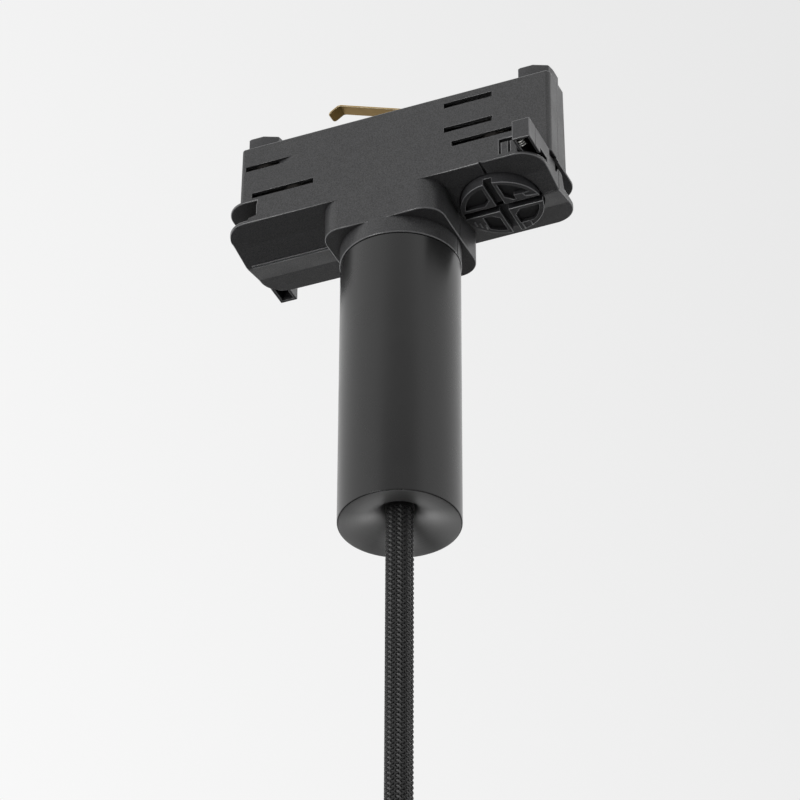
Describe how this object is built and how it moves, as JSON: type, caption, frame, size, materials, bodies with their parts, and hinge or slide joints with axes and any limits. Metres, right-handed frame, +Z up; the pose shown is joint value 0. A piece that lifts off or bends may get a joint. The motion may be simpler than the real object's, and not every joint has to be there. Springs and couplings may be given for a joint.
{
  "type": "track light adapter",
  "caption": "Black track light adapter: slotted blade with a sprung earth leaf, sliding side latches and a selector dial, above a tubular cup with a straight textile pendant cord.",
  "frame": {"origin": "on the tube's axis in the plane of the track's mouth, 0.9 mm above the flange's upper face", "axes": "+X along the track, +Z up into the track, +Y away from the side with the catch window"},
  "size_m": [0.099, 0.0463, 0.2738],
  "materials": {
    "shell_plastic": "moulded, fine grain, satin",
    "latch_plastic": "moulded, satin",
    "dial_plastic": "moulded, satin",
    "spindle_plastic": "moulded, natural",
    "contact_copper": "stamped copper alloy",
    "spring_steel": "rolled strip",
    "earth_brass": "stamped, slightly dull",
    "tube_coat": "satin black coat",
    "clamp_plastic": "moulded",
    "screw_steel": "zinc plated",
    "core_insulation": "extruded",
    "cord_textile": "braided, matte",
    "fitting_coat": "satin black coat"
  },
  "bodies": {
    "adapter": {"front_shell": "shell_plastic", "rear_shell": "shell_plastic", "right_lower_contact": "contact_copper", "left_lower_contact": "contact_copper", "neutral_contact": "contact_copper", "detent_spring": "spring_steel", "earth_contact": "earth_brass", "earth_rivet": "earth_brass", "tube": "tube_coat", "clamp_saddle": "clamp_plastic", "clamp_bar": "clamp_plastic", "clamp_screws": "screw_steel", "supply_cores": "core_insulation", "cord_tail": "cord_textile", "cord": "cord_textile", "cord_fitting": "fitting_coat"},
    "right_slide": {"right_latch": "latch_plastic"},
    "left_slide": {"left_latch": "latch_plastic"},
    "selector": {"phase_dial": "dial_plastic", "selector_spindle": "spindle_plastic", "upper_phase_contact": "contact_copper", "middle_phase_contact": "contact_copper"}
  },
  "joints": [
    {"name": "right_latch_slide", "type": "slide", "parent": "adapter", "child": "right_slide", "axis": [0, 1, 0], "range_m": [0, 0.0044]},
    {"name": "left_latch_slide", "type": "slide", "parent": "adapter", "child": "left_slide", "axis": [0, -1, 0], "range_m": [0, 0.0044]},
    {"name": "selector_turn", "type": "hinge", "parent": "adapter", "child": "selector", "pos_m": [0.0319, 0, -0.0115], "axis": [0, 0, 1], "range_deg": [-60, 60]}
  ]
}
